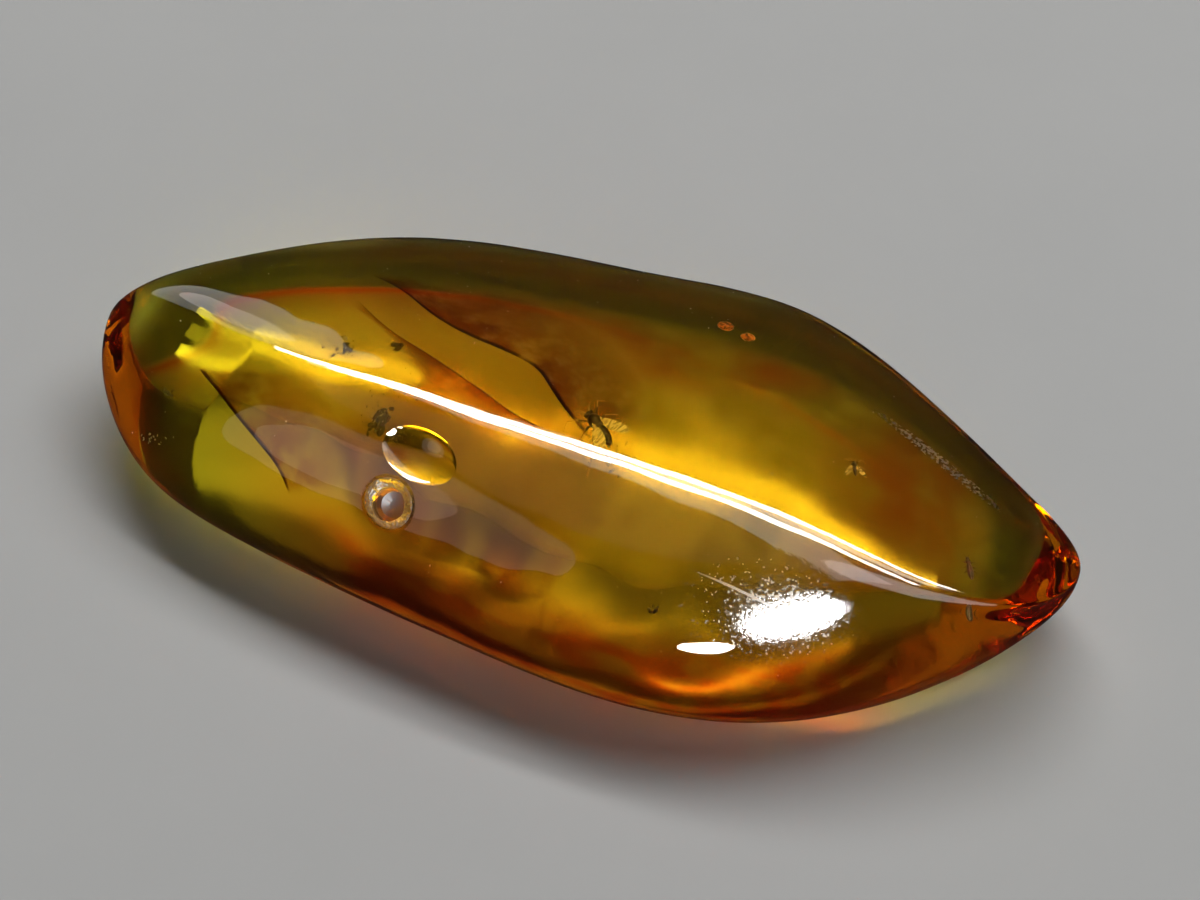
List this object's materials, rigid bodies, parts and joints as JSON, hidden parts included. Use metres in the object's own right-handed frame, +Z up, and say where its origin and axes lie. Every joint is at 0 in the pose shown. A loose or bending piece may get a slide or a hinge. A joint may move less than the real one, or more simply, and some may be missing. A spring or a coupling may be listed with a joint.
{
  "type": "insect in amber",
  "caption": "Polished, see-through drop of amber with small flies, a beetle and bark flecks sealed inside, resting on its flat ground base.",
  "frame": {"origin": "middle of the stone's bounding box, at the level of its ground base", "axes": "+X along the stone towards its narrower, pointed tip; +Y towards the thin rim at the foot of the long gentle slope; -Y towards the steep, rounded flank with the dimple and the pit; +Z up from the base"},
  "size_m": [0.0527, 0.0279, 0.0118],
  "materials": {
    "amber": "clear amber, polished, golden to reddish brown",
    "insect": "dark brown chitin",
    "beetle": "brown chitin with a dull sheen",
    "bark": "dark, rough plant matter",
    "seam": "see-through film of older, darker reddish resin"
  },
  "bodies": {
    "root": {"amber_upper": "amber", "amber_lower": "amber", "gnat": "insect", "midge": "insect", "beetle": "beetle", "bark_fleck_west": "bark", "bark_fleck_left": "bark", "bark_fleck_middle": "bark", "bark_fleck_dark": "bark", "bark_fleck_front": "bark", "flow_seam_long": "seam", "flow_seam_short": "seam", "flow_seam_left": "seam"}
  },
  "joints": []
}
